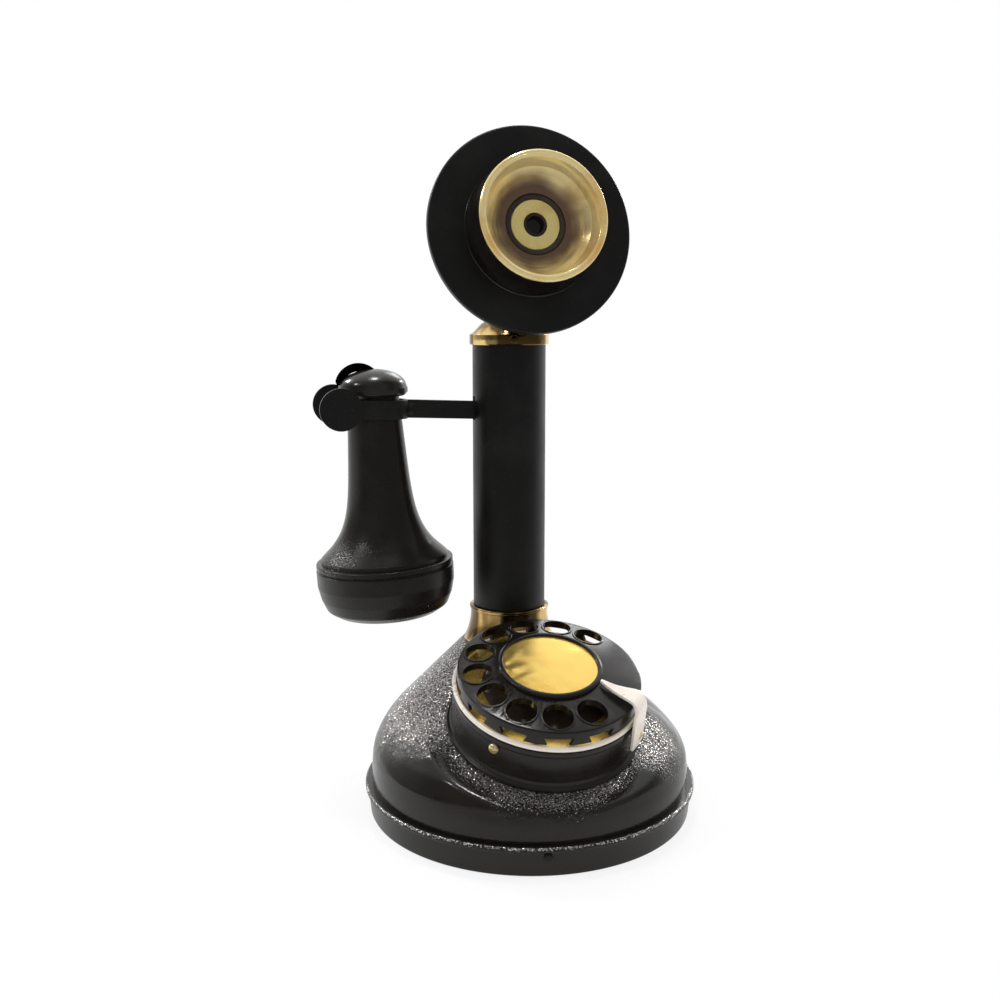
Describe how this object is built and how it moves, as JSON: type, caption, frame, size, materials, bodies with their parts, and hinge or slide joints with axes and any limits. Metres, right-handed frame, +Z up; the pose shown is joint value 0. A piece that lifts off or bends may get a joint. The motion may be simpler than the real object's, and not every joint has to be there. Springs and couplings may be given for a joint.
{
  "type": "candlestick telephone with rotary dial",
  "caption": "Upright candlestick telephone: round stepped base with a tilted rotary dial, slim column, tilting mouthpiece and a receiver hanging on a switch hook.",
  "frame": {"origin": "centre of the base's underside, on the table", "axes": "+Z up along the column; the dial and the mouthpiece face -Y; the receiver hangs on the -X side"},
  "size_m": [0.1727, 0.1556, 0.3128],
  "materials": {
    "green_felt": "matt felt",
    "zinc_steel": "plated, satin",
    "dark_steel": "blackened",
    "black_enamel": "gloss black enamel",
    "black_crinkle": "gloss black enamel with a fine crinkle",
    "black_satin": "satin black enamel",
    "cast_weight": "as cast",
    "board": "matt laminate",
    "black_plastic": "matt moulded",
    "rubber": "matt",
    "brass": "polished",
    "gold_plate": "bright gold-coloured sheet",
    "bright_trim": "bright plated",
    "grey_ring": "semi-gloss",
    "contact_strip": "springs in a moulded block",
    "black_bakelite": "gloss moulded, finely grained"
  },
  "bodies": {
    "stand": {"felt_pad": "green_felt", "base_plate": "zinc_steel", "base_ring": "black_enamel", "base_ring_screws": "dark_steel", "base_shell": "black_crinkle", "ballast_weight": "cast_weight", "circuit_board": "board", "ringer_capsule": "black_plastic", "cord_grommets": "rubber", "column_tube": "black_satin", "column_clamp": "zinc_steel", "column_collar": "brass", "column_head": "brass", "head_screw": "brass", "tilt_bolt": "brass", "switch_bracket": "zinc_steel", "hook_pin": "zinc_steel", "hook_contacts": "contact_strip", "dial_cup": "black_enamel", "dial_cup_screw": "brass", "trim_ring": "bright_trim", "number_plate": "gold_plate", "spring_cover": "black_plastic", "finger_stop": "bright_trim", "stop_screw": "brass", "dial_frame": "zinc_steel", "governor_cup": "brass", "return_spring": "zinc_steel", "pulse_contacts": "contact_strip"},
    "dial_wheel": {"finger_wheel": "black_enamel", "hub_ring": "black_enamel", "centre_disc": "gold_plate", "hub_screw": "zinc_steel", "dial_shaft": "zinc_steel", "main_gear": "brass"},
    "governor": {"governor_spindle": "zinc_steel", "governor_weights": "brass"},
    "transmitter": {"face_plate": "black_satin", "rear_case": "black_satin", "rear_case_screws": "dark_steel", "tilt_lug": "black_satin", "mouthpiece_shell": "black_satin", "mouthpiece_liner": "brass", "microphone_ring": "grey_ring", "microphone_washer": "gold_plate", "microphone_capsule": "black_plastic"},
    "switch_hook": {"hook_lever": "black_satin", "hook_fork": "black_satin", "hook_rivets": "dark_steel"},
    "receiver": {"receiver_shell": "black_bakelite", "receiver_top_cap": "black_bakelite", "cord_sleeve": "rubber", "ear_cap": "black_bakelite", "receiver_capsule": "black_plastic", "receiver_diaphragm": "zinc_steel"}
  },
  "joints": [
    {"name": "dial_turn", "type": "hinge", "parent": "stand", "child": "dial_wheel", "pos_m": [0, -0.032, 0.074], "axis": [0, -0.3338, 0.9426], "range_deg": [-310, 0], "stiffness_Nm_per_rad": 0.004, "springref_deg": 85.94},
    {"name": "governor_spin", "type": "hinge", "parent": "stand", "child": "governor", "pos_m": [-0.02269, -0.03979, 0.07124], "axis": [0, -0.3338, 0.9426], "range_deg": [-10, 1250]},
    {"name": "transmitter_tilt", "type": "hinge", "parent": "stand", "child": "transmitter", "pos_m": [0, 0.0375, 0.238], "axis": [1, 0, 0], "range_deg": [-25, 20]},
    {"name": "hook_swing", "type": "hinge", "parent": "stand", "child": "switch_hook", "pos_m": [0.006, 0.0375, 0.1841], "axis": [0, 1, 0], "range_deg": [0, 5], "stiffness_Nm_per_rad": 0.05, "springref_deg": 57.3},
    {"name": "receiver_lift", "type": "slide", "parent": "switch_hook", "child": "receiver", "axis": [-0.866, 0, 0.5], "range_m": [0, 0.06]}
  ],
  "couplings": [
    {"joint": "governor_spin", "follows": "dial_turn", "ratio": -4}
  ]
}
